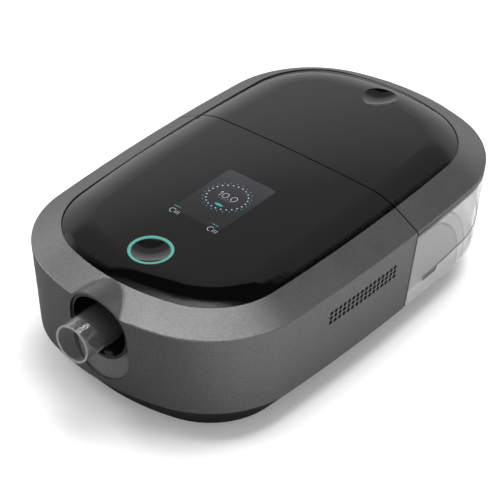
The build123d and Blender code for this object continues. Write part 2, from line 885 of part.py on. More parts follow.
with BuildPart() as blower_cover:
    with BuildSketch(level(blower_split_z)):
        add(blower_shell)
    extrude(amount=blower_height / 2)
    add(blower_mouth.part)
    split(bisect_by=level(blower_split_z), keep=Keep.TOP)
    with BuildSketch(level(blower_split_z)):
        add(blower_hollow)
    extrude(amount=blower_height / 2 - blower_wall, mode=Mode.SUBTRACT)
    with BuildSketch(level(blower_split_z)):
        with Locations(blower_centre):
            Circle(blower_eye_radius)
    extrude(amount=blower_height, mode=Mode.SUBTRACT)
    with BuildSketch(station(mouth_start_y - blower_wall)):
        with Locations((port_x, port_z)):
            Circle(duct_bore_radius - blower_wall)
    extrude(amount=-4 * port_sleeve, mode=Mode.SUBTRACT)
blower_cover.part.label = "blower_cover"
export_step(blower_cover.part, "parts/blower_cover.step")

impeller_z = blower_floor_z + 2 * blower_wall
blade_tip = impeller_radius - impeller_plate
blade_curve = RadiusArc(
    (impeller_hub_radius - impeller_plate, 0),
    (blade_tip * cos(radians(blade_sweep)), blade_tip * sin(radians(blade_sweep))),
    blade_tip,
    mode=Mode.PRIVATE,
)
with BuildPart() as impeller:
    with BuildSketch(level(impeller_z)):
        with Locations(blower_centre):
            Circle(impeller_radius)
    extrude(amount=impeller_plate)
    with BuildSketch(level(impeller_z)):
        with Locations(blower_centre):
            Circle(impeller_hub_radius)
    extrude(amount=impeller_height)
    # backward-curved blades
    with BuildSketch(level(impeller_z + impeller_plate)):
        with Locations(blower_centre):
            with PolarLocations(0, impeller_blades):
                SlotArc(blade_curve, impeller_plate)
    extrude(amount=impeller_height - impeller_plate)
    # shaft
    with BuildSketch(level(blower_floor_z - motor_height / 2)):
        with Locations(blower_centre):
            Circle(shaft_radius)
    extrude(amount=motor_height / 2 + 2 * blower_wall + impeller_height)
impeller.part.label = "impeller"
export_step(impeller.part, "parts/impeller.step")

with BuildPart() as motor:
    with BuildSketch(level(blower_floor_z - motor_height)):
        with Locations(blower_centre):
            Circle(motor_radius)
    extrude(amount=motor_height)
    fillet(motor.edges().group_by(Axis.Z)[0], blower_wall)
    with BuildSketch(level(blower_floor_z - motor_height / 2 - mount_gap)):
        with Locations(blower_centre):
            Circle(shaft_radius + shaft_fit)
    extrude(amount=motor_height, mode=Mode.SUBTRACT)
motor.part.label = "motor"
export_step(motor.part, "parts/motor.step")

with BuildPart() as blower_grommets:
    with BuildSketch(level(post_top_z + mount_gap)):
        with Locations(blower_centre):
            with Locations(grommet_places):
                Circle(blower_grommet_radius)
    extrude(amount=blower_floor_z - post_top_z - 2 * mount_gap)
    with BuildSketch(level((post_top_z + blower_floor_z) / 2)):
        with Locations(blower_centre):
            with Locations(grommet_places):
                Circle(blower_grommet_radius)
                Circle(blower_grommet_radius - blower_wall / 2, mode=Mode.SUBTRACT)
    extrude(amount=blower_wall, mode=Mode.SUBTRACT)
blower_grommets.part.label = "blower_grommets"
export_step(blower_grommets.part, "parts/blower_grommets.step")

with BuildPart() as main_board:
    with BuildSketch(level(board_z)):
        with Locations((0, board_y)):
            RectangleRounded(2 * foot_x, board_length, display_corner)
    extrude(amount=board_thickness)
    # chips and sockets
    with BuildSketch(level(board_z + board_thickness)):
        with Locations((0, board_y)):
            with GridLocations(foot_x / 2, board_length / 2, 4, 2):
                Rectangle(foot_x / 4, board_length / 4)
    extrude(amount=board_thickness)
main_board.part.label = "main_board"
export_step(main_board.part, "parts/main_board.step")

# --- Filter drawer, card reader and power inlet, left side ---

filter_back_x = -half_width + wall + filter_depth
scoop_z = filter_z - filter_height / 2
drawer_length = filter_length - 2 * filter_door_gap
drawer_height = filter_height - 2 * filter_door_gap
with BuildPart() as filter_drawer:
    with BuildSketch(side(-half_width - wall)):
        with Locations((filter_y, filter_z)):
            RectangleRounded(drawer_length, drawer_height, filter_corner - filter_door_gap)
    extrude(amount=filter_depth + 2 * wall)
    add(casing_block([(skirt_z, skirt_inset), (crease_z, 0)]), mode=Mode.INTERSECT)
    # tray behind the door, open towards the blower
    with BuildSketch(side(filter_back_x + wall)):
        with Locations((filter_y, filter_z)):
            RectangleRounded(
                drawer_length - 2 * wall, drawer_height - 2 * wall, filter_corner - wall
            )
    extrude(amount=-filter_depth + wall, mode=Mode.SUBTRACT)
    # finger scoop along the lower edge
    with BuildSketch(side(-half_width - wall)):
        with Locations((filter_y, scoop_z)):
            SlotOverall(filter_length / 2, filter_corner)
    extrude(amount=wall + scoop_depth + wall_inset(scoop_z), mode=Mode.SUBTRACT)
    # air slots through the door
    with BuildSketch(side(-half_width - wall)):
        with Locations((filter_y, filter_z)):
            with GridLocations(0, filter_corner, 1, 4):
                SlotOverall(filter_length - 4 * filter_corner, wall / 2)
    extrude(amount=4 * wall, mode=Mode.SUBTRACT)
filter_drawer.part.label = "filter_drawer"
export_step(filter_drawer.part, "parts/filter_drawer.step")

with BuildPart() as air_filter:
    with BuildSketch(side(filter_back_x - filter_depth / 2)):
        with Locations((filter_y, filter_z)):
            RectangleRounded(
                drawer_length - 2 * wall - mount_gap,
                drawer_height - 2 * wall - mount_gap,
                filter_corner - wall,
            )
    extrude(amount=filter_depth / 2)
air_filter.part.label = "air_filter"
export_step(air_filter.part, "parts/air_filter.step")

reader_foot_z = card_z - card_slot_height / 2 - wall
reader_x = wall_inset(reader_foot_z) + wall + mount_gap - half_width
reader_depth = duct_x - duct_bore_radius - duct_wall - card_gap - reader_x
with BuildPart() as card_reader:
    with BuildSketch(side(reader_x)):
        with Locations((card_y, card_z)):
            RectangleRounded(
                card_slot_length + 2 * wall, card_slot_height + 2 * wall, wall / 2
            )
    extrude(amount=reader_depth)
    with BuildSketch(side(reader_x)):
        with Locations((card_y, card_z)):
            SlotOverall(card_slot_length, card_slot_height)
    extrude(amount=reader_depth - wall, mode=Mode.SUBTRACT)
card_reader.part.label = "card_reader"
export_step(card_reader.part, "parts/card_reader.step")

power_face_x = wall_inset(power_z) + wall / 2 - half_width
with BuildPart() as power_inlet:
    with BuildSketch(side(power_face_x)):
        with Locations((power_y, power_z)):
            Circle(power_recess_radius - mount_gap)
    extrude(amount=power_depth + wall)
    with BuildSketch(side(power_face_x)):
        with Locations((power_y, power_z)):
            Circle(power_bore_radius)
            Circle(power_pin_radius, mode=Mode.SUBTRACT)
    extrude(amount=power_depth, mode=Mode.SUBTRACT)
power_inlet.part.label = "power_inlet"
export_step(power_inlet.part, "parts/power_inlet.step")

# --- Humidifier bay ---

deck_foot_z = base_rim_z - deck_thickness
with BuildPart() as bay_deck:
    add(casing_block([(z, base_hollow_inset(z) + mount_gap) for z in (deck_foot_z, base_rim_z)]))
    split(bisect_by=seam_plane.offset(bulkhead_front), keep=Keep.TOP)
    with BuildSketch(level(deck_foot_z)):
        with Locations((0, heater_y)):
            Circle(heater_radius + heater_fit)
    extrude(amount=deck_thickness, mode=Mode.SUBTRACT)
    with BuildSketch(level(deck_foot_z)):
        with Locations(deck_screw_places):
            Circle(screw_radius + screw_clearance)
    extrude(amount=deck_thickness - deck_skin / 2, mode=Mode.SUBTRACT)
bay_deck.part.label = "bay_deck"
export_step(bay_deck.part, "parts/bay_deck.step")

tank_foot_z = skirt_z + tank_floor_gap
heater_top_z = tank_foot_z - heater_fit
with BuildPart() as heater_plate:
    with BuildSketch(level(deck_foot_z - mount_gap - heater_thickness)):
        with Locations((0, heater_y)):
            Circle(heater_radius + wall)
    extrude(amount=heater_thickness)
    with BuildSketch(level(deck_foot_z - mount_gap - heater_thickness)):
        with Locations((0, heater_y)):
            Circle(heater_radius)
    extrude(amount=heater_top_z - deck_foot_z + mount_gap + heater_thickness)
    fillet(heater_plate.edges().group_by(Axis.Z)[-1], heater_thickness / 3)
heater_plate.part.label = "heater_plate"
export_step(heater_plate.part, "parts/heater_plate.step")

heater_foot_z = deck_foot_z - 2 * mount_gap - heater_thickness
with BuildPart() as heater_element:
    with BuildSketch(level(heater_foot_z)):
        with Locations((0, heater_y)):
            Circle(heater_radius - wall)
            Circle(heater_radius / 3, mode=Mode.SUBTRACT)
    extrude(amount=-heater_thickness)
heater_element.part.label = "heater_element"
export_step(heater_element.part, "parts/heater_element.step")

# --- Water tank ---

tank_front = seam_gap / 2
with BuildPart() as tank_hollow:
    add(casing_block([(z, wall_inset(z) + tank_wall) for z in (tank_foot_z + wall, tank_rim_z)]))
    split(bisect_by=level(tank_rim_z - tank_rim_thickness), keep=Keep.BOTTOM)
    split(bisect_by=seam_plane.offset(tank_front + tank_wall), keep=Keep.TOP)

knuckle_foot_z = tank_rim_z - tank_rim_thickness / 2
with BuildPart() as tank_knuckles:
    with BuildSketch(side(0)):
        with Locations((hinge_y, hinge_z)):
            Circle(hinge_radius)
        with Locations((hinge_y, (hinge_z + knuckle_foot_z) / 2)):
            Rectangle(2 * hinge_radius, hinge_z - knuckle_foot_z)
    extrude(amount=hinge_width / 2, both=True)
    add(machine_outer, mode=Mode.INTERSECT)

with BuildPart() as lid_ear:
    with BuildSketch(side(0)):
        with Locations((hinge_y, hinge_z)):
            Circle(hinge_radius)
        with Locations((hinge_y - hinge_neck / 2, hinge_z + hinge_radius / 2)):
            Rectangle(hinge_neck, hinge_radius)
    extrude(amount=lid_knuckle / 2, both=True)
    add(machine_outer, mode=Mode.INTERSECT)

line_start_y = clip_rear_y - clip_slant
line_start = (0, casing_y + line_start_y, tank_line_z)
line_plane = Plane(
    line_start, x_dir=(1, 0, 0), z_dir=(0, -tank_line_rise, half_length - line_start_y)
)
with BuildPart() as tank_line:
    with BuildSketch(line_plane):
        with Locations((0, span / 2)):
            Rectangle(span, span)
    extrude(amount=tank_line_width)
    inner_levels = [(z, wall_inset(z) + tank_line_width) for z in (tank_foot_z, tank_rim_z)]
    add(casing_block(inner_levels), mode=Mode.SUBTRACT)

clip_z = (clip_top_z + clip_foot_z) / 2
clip_x = half_width - wall_inset(clip_z) - clip_depth - 2 * clip_fit - clip_depth
with BuildSketch(Plane.XY) as clip_face:
    with BuildLine():
        Polyline(
            (clip_front_y, clip_top_z),
            (clip_front_y + clip_slant, clip_foot_z),
            (clip_rear_y - 2 * clip_slant, clip_foot_z),
            (clip_rear_y, clip_top_z),
            close=True,
        )
    make_face()
clip_outline = clip_face.sketch

with BuildPart() as water_tank:
    add(casing_block([(z, wall_inset(z)) for z in (tank_foot_z, tank_rim_z)]))
    split(bisect_by=seam_plane.offset(tank_front), keep=Keep.TOP)
    add(tank_hollow.part, mode=Mode.SUBTRACT)
    with BuildSketch(level(tank_rim_z - tank_rim_thickness)):
        add(rear_plan(tank_rim_width, tank_rim_width))
    extrude(amount=wall, mode=Mode.SUBTRACT)
    # opening for the metal floor
    with BuildSketch(level(tank_foot_z)):
        with Locations((0, heater_y)):
            Circle(water_plate_radius + display_fit)
    extrude(amount=wall, mode=Mode.SUBTRACT)
    # air openings, facing the bulkhead
    with BuildSketch(station(seam_y)):
        with Locations((-port_x, port_z), (port_x, port_z)):
            Circle(port_radius)
    extrude(amount=2 * wall, both=True, mode=Mode.SUBTRACT)
    # knuckles at the rear that carry the lid, flush with the casing
    add(tank_knuckles.part)
    with BuildSketch(side(0)):
        with Locations((hinge_y, hinge_z)):
            Circle(hinge_radius + hinge_clearance)
    extrude(amount=lid_knuckle / 2 + hinge_clearance, both=True, mode=Mode.SUBTRACT)
    with BuildSketch(side(0)):
        with Locations((hinge_y, hinge_z)):
            Circle(hinge_pin_radius + hinge_fit)
    extrude(amount=hinge_pin_length / 2 + hinge_fit, both=True, mode=Mode.SUBTRACT)
    # joint line round the outside, rising towards the rear
    add(tank_line.part, mode=Mode.SUBTRACT)
    # shallow pocket for a clip on either side
    with BuildSketch(side(clip_x)):
        add(clip_outline)
    extrude(amount=span, mode=Mode.SUBTRACT)
    with BuildSketch(side(-clip_x)):
        add(clip_outline)
    extrude(amount=-span, mode=Mode.SUBTRACT)
water_tank.part.label = "water_tank"
export_step(water_tank.part, "parts/water_tank.step")

with BuildPart() as tank_clips:
    with BuildSketch(side(0)):
        add(clip_outline)
        offset(amount=-clip_fit, kind=Kind.INTERSECTION, mode=Mode.REPLACE)
    extrude(amount=clip_x + clip_depth, both=True)
    with BuildSketch(side(0)):
        add(clip_outline)
    extrude(amount=clip_x, both=True, mode=Mode.SUBTRACT)
tank_clips.part.label = "tank_clips"
export_step(tank_clips.part, "parts/tank_clips.step")

# Pressed metal pan that closes the tank's floor over the heater
pan_flange_z = tank_foot_z + wall + display_fit
pan_flange_radius = water_plate_radius + 2 * tank_wall
pan_wall_radius = water_plate_radius - water_plate_thickness
with BuildPart() as water_plate:
    with BuildSketch(level(tank_foot_z)):
        with Locations((0, heater_y)):
            Circle(water_plate_radius)
    extrude(amount=pan_flange_z + water_plate_thickness - tank_foot_z)
    with BuildSketch(level(pan_flange_z)):
        with Locations((0, heater_y)):
            Circle(pan_flange_radius)
    extrude(amount=water_plate_thickness)
    with BuildSketch(level(tank_foot_z + water_plate_thickness)):
        with Locations((0, heater_y)):
            Circle(pan_wall_radius)
    extrude(amount=wall + water_plate_thickness, mode=Mode.SUBTRACT)
water_plate.part.label = "water_plate"
export_step(water_plate.part, "parts/water_plate.step")

# --- Lid ---

with BuildPart() as lid_bezel:
    add(machine_outer)
    lid_crease = lid_bezel.edges().filter_by_position(Axis.Z, crease_z, crease_z)
    fillet(lid_crease, crease_radius)
    add(machine_hollow, mode=Mode.SUBTRACT)
    split(bisect_by=level(lid_lip_z), keep=Keep.TOP)
    with BuildSketch(level(panel_seat_z)):
        add(plan(bezel_inset))
    extrude(amount=crown_z, mode=Mode.SUBTRACT)
    with BuildSketch(level(ledge_z)):
        add(plan(bezel_inset + panel_ledge))
    extrude(amount=crown_z, mode=Mode.SUBTRACT)
    split(bisect_by=seam_plane.offset(seam_gap / 2), keep=Keep.TOP)
    # room for the tank's knuckles, and the lid's own knuckle between them
    with BuildSketch(side(0)):
        with Locations((hinge_y, hinge_z)):
            Circle(hinge_radius + hinge_clearance)
    extrude(amount=hinge_width / 2 + hinge_clearance, both=True, mode=Mode.SUBTRACT)
    add(lid_ear.part)
    with BuildSketch(side(0)):
        with Locations((hinge_y, hinge_z)):
            Circle(hinge_pin_radius + hinge_fit)
    extrude(amount=lid_knuckle, both=True, mode=Mode.SUBTRACT)
lid_bezel.part.label = "lid_bezel"
export_step(lid_bezel.part, "parts/lid_bezel.step")

with BuildPart() as hinge_pin:
    with BuildSketch(side(0)):
        with Locations((hinge_y, hinge_z)):
            Circle(hinge_pin_radius)
    extrude(amount=hinge_pin_length / 2, both=True)
hinge_pin.part.label = "hinge_pin"
export_step(hinge_pin.part, "parts/hinge_pin.step")

# Oval dish for a thumb, pressed into the lid's glossy panel
thumb_top_z = crown_z - thumb_y**2 / (2 * crown_radius_y)
thumb_ball_radius = (thumb_width**2 / 4 + thumb_depth**2) / (2 * thumb_depth)
thumb_squash = (1, thumb_length / thumb_width, 1)
thumb_place = Location((0, casing_y + thumb_y, thumb_top_z - thumb_depth + thumb_ball_radius))
with BuildPart() as thumb_dish:
    Sphere(thumb_ball_radius)
    scale(by=thumb_squash)
with BuildPart() as thumb_bump:
    Sphere(thumb_ball_radius + panel_thickness)
    scale(by=thumb_squash)

with BuildPart() as lid_panel_hollow:
    add(crown_under)
    split(bisect_by=seam_plane.offset(seam_gap / 2 + panel_thickness), keep=Keep.TOP)
    add(thumb_bump.part.moved(thumb_place), mode=Mode.SUBTRACT)

with BuildPart() as lid_panel:
    add(crown_skin)
    split(bisect_by=level(panel_seat_z), keep=Keep.TOP)
    split(bisect_by=seam_plane.offset(seam_gap / 2), keep=Keep.TOP)
    add(lid_panel_hollow.part, mode=Mode.SUBTRACT)
    add(thumb_dish.part.moved(thumb_place), mode=Mode.SUBTRACT)
lid_panel.part.label = "lid_panel"
export_step(lid_panel.part, "parts/lid_panel.step")

# Inner lid: a plate under the panel with an upright rim along the seam
with BuildPart() as lid_frame:
    add(casing_filling.part)
    split(bisect_by=level(lid_lip_z + seal_gap), keep=Keep.TOP)
    split(bisect_by=seam_plane.offset(seam_gap / 2), keep=Keep.TOP)
    split(bisect_by=seam_plane.offset(seam_gap / 2 + frame_thickness), keep=Keep.BOTTOM)
    with BuildSketch(level(frame_z)):
        add(rear_plan(cavity_inset(frame_z + frame_thickness) + mount_gap, seam_gap))
    extrude(amount=frame_thickness)
lid_frame.part.label = "lid_frame"
export_step(lid_frame.part, "parts/lid_frame.step")

with BuildPart() as lid_seal:
    with BuildSketch(level(tank_rim_z + seal_gap)):
        add(rear_plan(seal_inset, seal_inset - seal_width))
        add(rear_plan(seal_inset + seal_width, seal_inset), mode=Mode.SUBTRACT)
    extrude(amount=frame_z - tank_rim_z - seal_gap)
lid_seal.part.label = "lid_seal"
export_step(lid_seal.part, "parts/lid_seal.step")
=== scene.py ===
import functools
import json
import math

import bmesh
import bpy
from mathutils import Matrix, Quaternion, Vector


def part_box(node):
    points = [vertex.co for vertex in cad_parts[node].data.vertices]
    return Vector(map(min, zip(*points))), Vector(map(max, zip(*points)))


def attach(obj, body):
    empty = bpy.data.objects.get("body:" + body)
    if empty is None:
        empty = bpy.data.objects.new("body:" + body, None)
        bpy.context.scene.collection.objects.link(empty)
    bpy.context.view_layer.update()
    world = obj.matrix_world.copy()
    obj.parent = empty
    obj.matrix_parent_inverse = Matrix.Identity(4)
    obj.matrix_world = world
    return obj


# Looks of a bedside air machine with a water tank: materials, display marks, studio and camera.
# Everything is in metres in the part's frame: +Z up, the air outlet points to -Y.

MM = 0.001

# --- Places and sizes on the part ---

# Crowned glossy top, and the width of the band beside its seam that is shaded flat
CROWN_Z = 84.3 * MM
CROWN_RADIUS_X = 1.3
CROWN_RADIUS_Y = 6.0
FLAT_BAND = 10.0 * MM

# Outlet tube's cut end, painted pale as a highlight, and the lit ring
RIM_HIGHLIGHT_DEPTH = 0.6 * MM
RING_WIDTH = 1.5 * MM

# Two dark arcs seen in the clear tank wall round a middle: the span of distances from it,
# and the tone by the share of that span
ARC_MIDDLE_Y = 35.0 * MM
ARC_MIDDLE_Z = 24.0 * MM
ARC_SPAN = (40.4 * MM, 56.4 * MM)
ARC_TONES = [
    (0.22, 0.74),
    (0.25, 0.52),
    (0.28, 0.52),
    (0.33, 0.92),
    (0.66, 0.90),
    (0.69, 0.62),
    (0.71, 0.62),
    (0.76, 1.05),
]

# Moulded line in the tank wall, darkened by painted shade along it: it starts behind the middle of
# the casing and climbs to the rear end; the wall's foot below it is paler
LINE_START_Y = 50.0 * MM
LINE_Z = 33.15 * MM
LINE_CLIMB = 3.9 * MM
LINE_SHADE_WIDTH = 0.6 * MM
FOOT_FADE = 2.0 * MM
FOOT_BRIGHTNESS = 1.35

# Painted shade on the tank wall's edges: how far each reaches in full, and where it is gone. Only
# the side walls get painted shade at the seam, so SIDE_WALL is counted inwards from the tank's
# widest place.
SEAM_SHADE = (0.7 * MM, 1.1 * MM)
SIDE_WALL = (4.0 * MM, 6.0 * MM)
LID_SHADOW = (0.8 * MM, 1.6 * MM)
# Tone of the painted shade, and how far it makes the clear wall opaque
SHADE_TONE = 0.15
SHADE_COVER = 0.9

# --- Display marks, measured from the middle of the casing ---

MARK_LIFT = 0.05 * MM
MARK_THICKNESS = 0.04 * MM
DISC_TAPER = 0.9

DIAL_Y = -32.4 * MM
DOT_COUNT = 24
DOT_RING = 11.4 * MM
DOT_RADIUS = 0.42 * MM
DOT_SIDES = 20
HALO_RING = 13.2 * MM
HALO_RADIUS = 0.36 * MM
HALO_SIDES = 12

DIGIT_Y = -31.6 * MM
DIGIT_HEIGHT = 4.4 * MM
DIGIT_WIDTH = 3.3 * MM
DIGIT_STROKE = 0.28 * MM
ONE_X = -4.9 * MM
ONE_FLAG = 1.0 * MM
ZERO_XS = (-1.7 * MM, 4.1 * MM)
ZERO_POINTS = 24
POINT_X = 1.2 * MM
POINT_RADIUS = 0.8 * DIGIT_STROKE

RULE_Y = -35.0 * MM
RULE_ENDS = (-4.2 * MM, 4.6 * MM)
RULE_WIDTH = 0.4 * MM

LEAF_X = 0.8 * MM
LEAF_Y = -39.6 * MM
LEAF_REACH = 3.0 * MM
LEAF_RISE = 1.2 * MM
LEAF_DROP = 1.7 * MM
LEAF_HOLLOW = 1.0 * MM
LEAF_UPPER_TURN = (160, 20)
LEAF_LOWER_TURN = (-15, -165)
LEAF_STEPS = 12

ICON_X = 13.1 * MM
ICON_Y = -59.6 * MM
ICON_STROKE = 0.27 * MM
CUP_X = -1.5 * MM
CUP_RADII = (1.7 * MM, 1.8 * MM)
CUP_TURN = (55, 290)
CUP_STEPS = 16
BAR_XS = (0.3 * MM, 1.5 * MM, 2.7 * MM)
BAR_YS = (-1.6 * MM, 0.9 * MM)
DASH_XS = (-4.0 * MM, 0.4 * MM)
DASH_Y = 4.2 * MM
DASH_WIDTH = 0.38 * MM

# --- Studio ---

# What reflections see, by direction: X to the right side, Y to the rear, Z up. A pair is where
# a soft edge starts and where it is full; CORE_LIGHT is the strength at either end of CORE_X.
HORIZON_Z = (0.60, 0.30)
BACKDROP_X = (0.12, 0.04)
BACKDROP_Y = (0.0, 0.1)
BACKDROP_Z = (0.815, 0.80)
BOX_SLANT = 0.5
BOX_EDGE = (0.27, 0.21)
BOX_Z = (0.70, 0.76)
CORE_EDGE = (0.22, 0.12)
CORE_X = (-0.5, -0.1)
CORE_LIGHT = (3.8, 8.0)
STRIP_X = (-0.6, -0.78)
STRIP_Y = (0.28, 0.1)
STRIP_Z = (0.75, 0.6)
STRIP_LIGHT = 2.6
# (Z, tone) from straight down to straight up
REFLECTED_TONES = [
    (0.0, 1.0),
    (0.30, 0.95),
    (0.50, 0.78),
    (0.55, 0.60),
    (0.59, 0.38),
    (0.66, 0.34),
    (1.0, 0.34),
]
SKY_DIFFUSE = 0.62

FLOOR_SIZE = 6.0
FLOOR_TONE = 0.9
FLOOR_GLOW = 0.16
# Painted shade on the table, seen only in reflections: darker by the first value up to the first
# X, by the second from the second X on
FLOOR_SHADE_X = (0.06, 0.15)
FLOOR_SHADE = (0.67, 0.32)

# Camera, solved from the outline of the casing in the photograph
CAMERA_AZIMUTH = math.radians(39.08)
CAMERA_ELEVATION = math.radians(36.39)
CAMERA_ROLL = math.radians(1.14)
CAMERA_DISTANCE = 1.2057
CAMERA_TARGET = Vector((-1.31, -2.31, 36.8)) * MM
CAMERA_LENS = 157.5
CAMERA_CLIP = 0.05
SENSOR_WIDTH = 36.0

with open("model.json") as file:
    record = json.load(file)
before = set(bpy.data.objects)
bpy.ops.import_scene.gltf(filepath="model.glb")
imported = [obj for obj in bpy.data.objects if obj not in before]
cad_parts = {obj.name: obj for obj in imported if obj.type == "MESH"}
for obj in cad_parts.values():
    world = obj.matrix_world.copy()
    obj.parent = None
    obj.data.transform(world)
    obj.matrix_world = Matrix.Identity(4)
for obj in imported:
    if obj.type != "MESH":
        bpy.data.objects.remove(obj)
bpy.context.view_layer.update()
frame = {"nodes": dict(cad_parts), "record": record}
nodes = frame["nodes"]

casing_y = (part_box("front_housing")[0].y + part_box("water_tank")[1].y) / 2


# --- Node helpers ---


def new_material(name, rough, metallic=0.0, ior=1.5):
    """A material with one Principled shader; returns it with its tree and that shader."""
    material = bpy.data.materials.new(name)
    material.use_nodes = True
    tree = material.node_tree
    shader = tree.nodes["Principled BSDF"]
    shader.inputs["Roughness"].default_value = rough
    shader.inputs["Metallic"].default_value = metallic
    shader.inputs["IOR"].default_value = ior
    return material, tree, shader


def place(tree):
    """X, Y and Z of the shaded point in the part's own coordinates."""
    coord = tree.nodes.new("ShaderNodeTexCoord")
    split = tree.nodes.new("ShaderNodeSeparateXYZ")
    tree.links.new(coord.outputs["Object"], split.inputs["Vector"])
    return split.outputs["X"], split.outputs["Y"], split.outputs["Z"]


def noise(tree, scale, detail=2.0, stretch=(1, 1, 1)):
    """Noise in the part's own coordinates, scale in features per metre."""
    coord = tree.nodes.new("ShaderNodeTexCoord")
    mapping = tree.nodes.new("ShaderNodeMapping")
    mapping.inputs["Scale"].default_value = stretch
    texture = tree.nodes.new("ShaderNodeTexNoise")
    texture.inputs["Scale"].default_value = scale
    texture.inputs["Detail"].default_value = detail
    tree.links.new(coord.outputs["Object"], mapping.inputs["Vector"])
    tree.links.new(mapping.outputs["Vector"], texture.inputs["Vector"])
    return texture.outputs["Fac"]


def ramp(tree, factor, stops):
    """Colour ramp over (position, grey or colour) stops."""
    node = tree.nodes.new("ShaderNodeValToRGB")
    elements = node.color_ramp.elements
    while len(elements) < len(stops):
        elements.new(0.5)
    for element, (position, value) in zip(elements, stops):
        element.position = position
        colour = (value, value, value) if isinstance(value, (int, float)) else value
        element.color = (*colour, 1)
    tree.links.new(factor, node.inputs["Fac"])
    return node.outputs["Color"]


def two_tone(tree, pattern, first, second, start=0.3, end=0.7):
    """Blend of two greys or colours over the middle of a pattern's range."""
    return ramp(tree, pattern, [(start, first), (end, second)])


def bump(tree, shader, factor, height, strength=1.0):
    """Small relief of the given height in metres."""
    node = tree.nodes.new("ShaderNodeBump")
    node.inputs["Distance"].default_value = height
    node.inputs["Strength"].default_value = strength
    tree.links.new(factor, node.inputs["Height"])
    tree.links.new(node.outputs["Normal"], shader.inputs["Normal"])


def fade(tree, value, start, end):
    """0 where the value is at start, 1 at end, straight in between."""
    node = tree.nodes.new("ShaderNodeMapRange")
    node.inputs["From Min"].default_value = start
    node.inputs["From Max"].default_value = end
    tree.links.new(value, node.inputs["Value"])
    return node.outputs["Result"]


def spread(tree, factor, low_value, high_value):
    """Maps a 0 to 1 factor onto a range."""
    node = tree.nodes.new("ShaderNodeMapRange")
    node.inputs["To Min"].default_value = low_value
    node.inputs["To Max"].default_value = high_value
    tree.links.new(factor, node.inputs["Value"])
    return node.outputs["Result"]


def uneven_gloss(tree, shader, pattern, smooth, dull):
    """Roughness that wanders between two values with a pattern."""
    tree.links.new(spread(tree, pattern, smooth, dull), shader.inputs["Roughness"])


def arithmetic(tree, operation, *operands):
    """One arithmetic step; each operand is a socket or a number."""
    node = tree.nodes.new("ShaderNodeMath")
    node.operation = operation
    for socket, operand in zip(node.inputs, operands):
        if isinstance(operand, (int, float)):
            socket.default_value = operand
        else:
            tree.links.new(operand, socket)
    return node.outputs[0]


def combine(tree, operation, *operands):
    """The operands joined one after another by the same operation."""
    return functools.reduce(lambda a, b: arithmetic(tree, operation, a, b), operands)


def distance(tree, first, second, first_middle, second_middle):
    """Distance of a point from a middle, both by two coordinates."""
    offsets = (
        arithmetic(tree, "SUBTRACT", first, first_middle),
        arithmetic(tree, "SUBTRACT", second, second_middle),
    )
    squares = [arithmetic(tree, "MULTIPLY", offset, offset) for offset in offsets]
    return arithmetic(tree, "SQRT", combine(tree, "ADD", *squares))


def scaled(colour, factor):
    """A colour made darker or brighter."""
    return tuple(factor * channel for channel in colour)


# --- Materials ---


def grained_plastic(name, dark, light, rough, metallic=0.0, grain=1400, relief=0.03):
    """Spark-eroded moulded plastic: fine two-tone grain, uneven gloss, small relief in mm."""
    material, tree, shader = new_material(name, rough, metallic)
    fine = noise(tree, grain, 3)
    colours = two_tone(tree, fine, dark, light, 0.35, 0.68)
    tree.links.new(colours, shader.inputs["Base Color"])
    uneven_gloss(tree, shader, noise(tree, 60, 2), rough - 0.05, rough + 0.06)
    bump(tree, shader, fine, relief * MM, 0.5)
    return material


def gloss_plastic(name, colour, rough):
    """Polished plastic with a wiped-dust unevenness in its tone and gloss."""
    material, tree, shader = new_material(name, rough)
    broad = noise(tree, 25, 3)
    colours = two_tone(tree, broad, colour, scaled(colour, 1.25))
    tree.links.new(colours, shader.inputs["Base Color"])
    uneven_gloss(tree, shader, broad, rough * 0.6, rough * 1.6)
    return material


def flat_band(material, start, end):
    """Shades a band along Y by the mesh's own flat normals, so a thin edge rounding next to it
    doesn't smear over the broad face."""
    tree = material.node_tree
    along = place(tree)[1]
    band = combine(
        tree,
        "MINIMUM",
        fade(tree, along, start, start + 1.0 * MM),
        fade(tree, along, end + 0.1 * MM, end),
    )
    geometry = tree.nodes.new("ShaderNodeNewGeometry")
    mix = tree.nodes.new("ShaderNodeMix")
    mix.data_type = "VECTOR"
    # the mix node's vector sockets: inputs 4 and 5, output 1
    tree.links.new(band, mix.inputs["Factor"])
    tree.links.new(geometry.outputs["Normal"], mix.inputs[4])
    tree.links.new(geometry.outputs["True Normal"], mix.inputs[5])
    tree.links.new(mix.outputs[1], tree.nodes["Principled BSDF"].inputs["Normal"])


def height_above_line(tree, along, height):
    """Height above the foot of the tank's moulded line, which climbs towards the rear."""
    start = casing_y + LINE_START_Y
    slope = LINE_CLIMB / (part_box("water_tank")[1].y - start)
    climb = combine(tree, "MULTIPLY", arithmetic(tree, "SUBTRACT", along, start), slope)
    return combine(tree, "SUBTRACT", height, climb, LINE_Z)


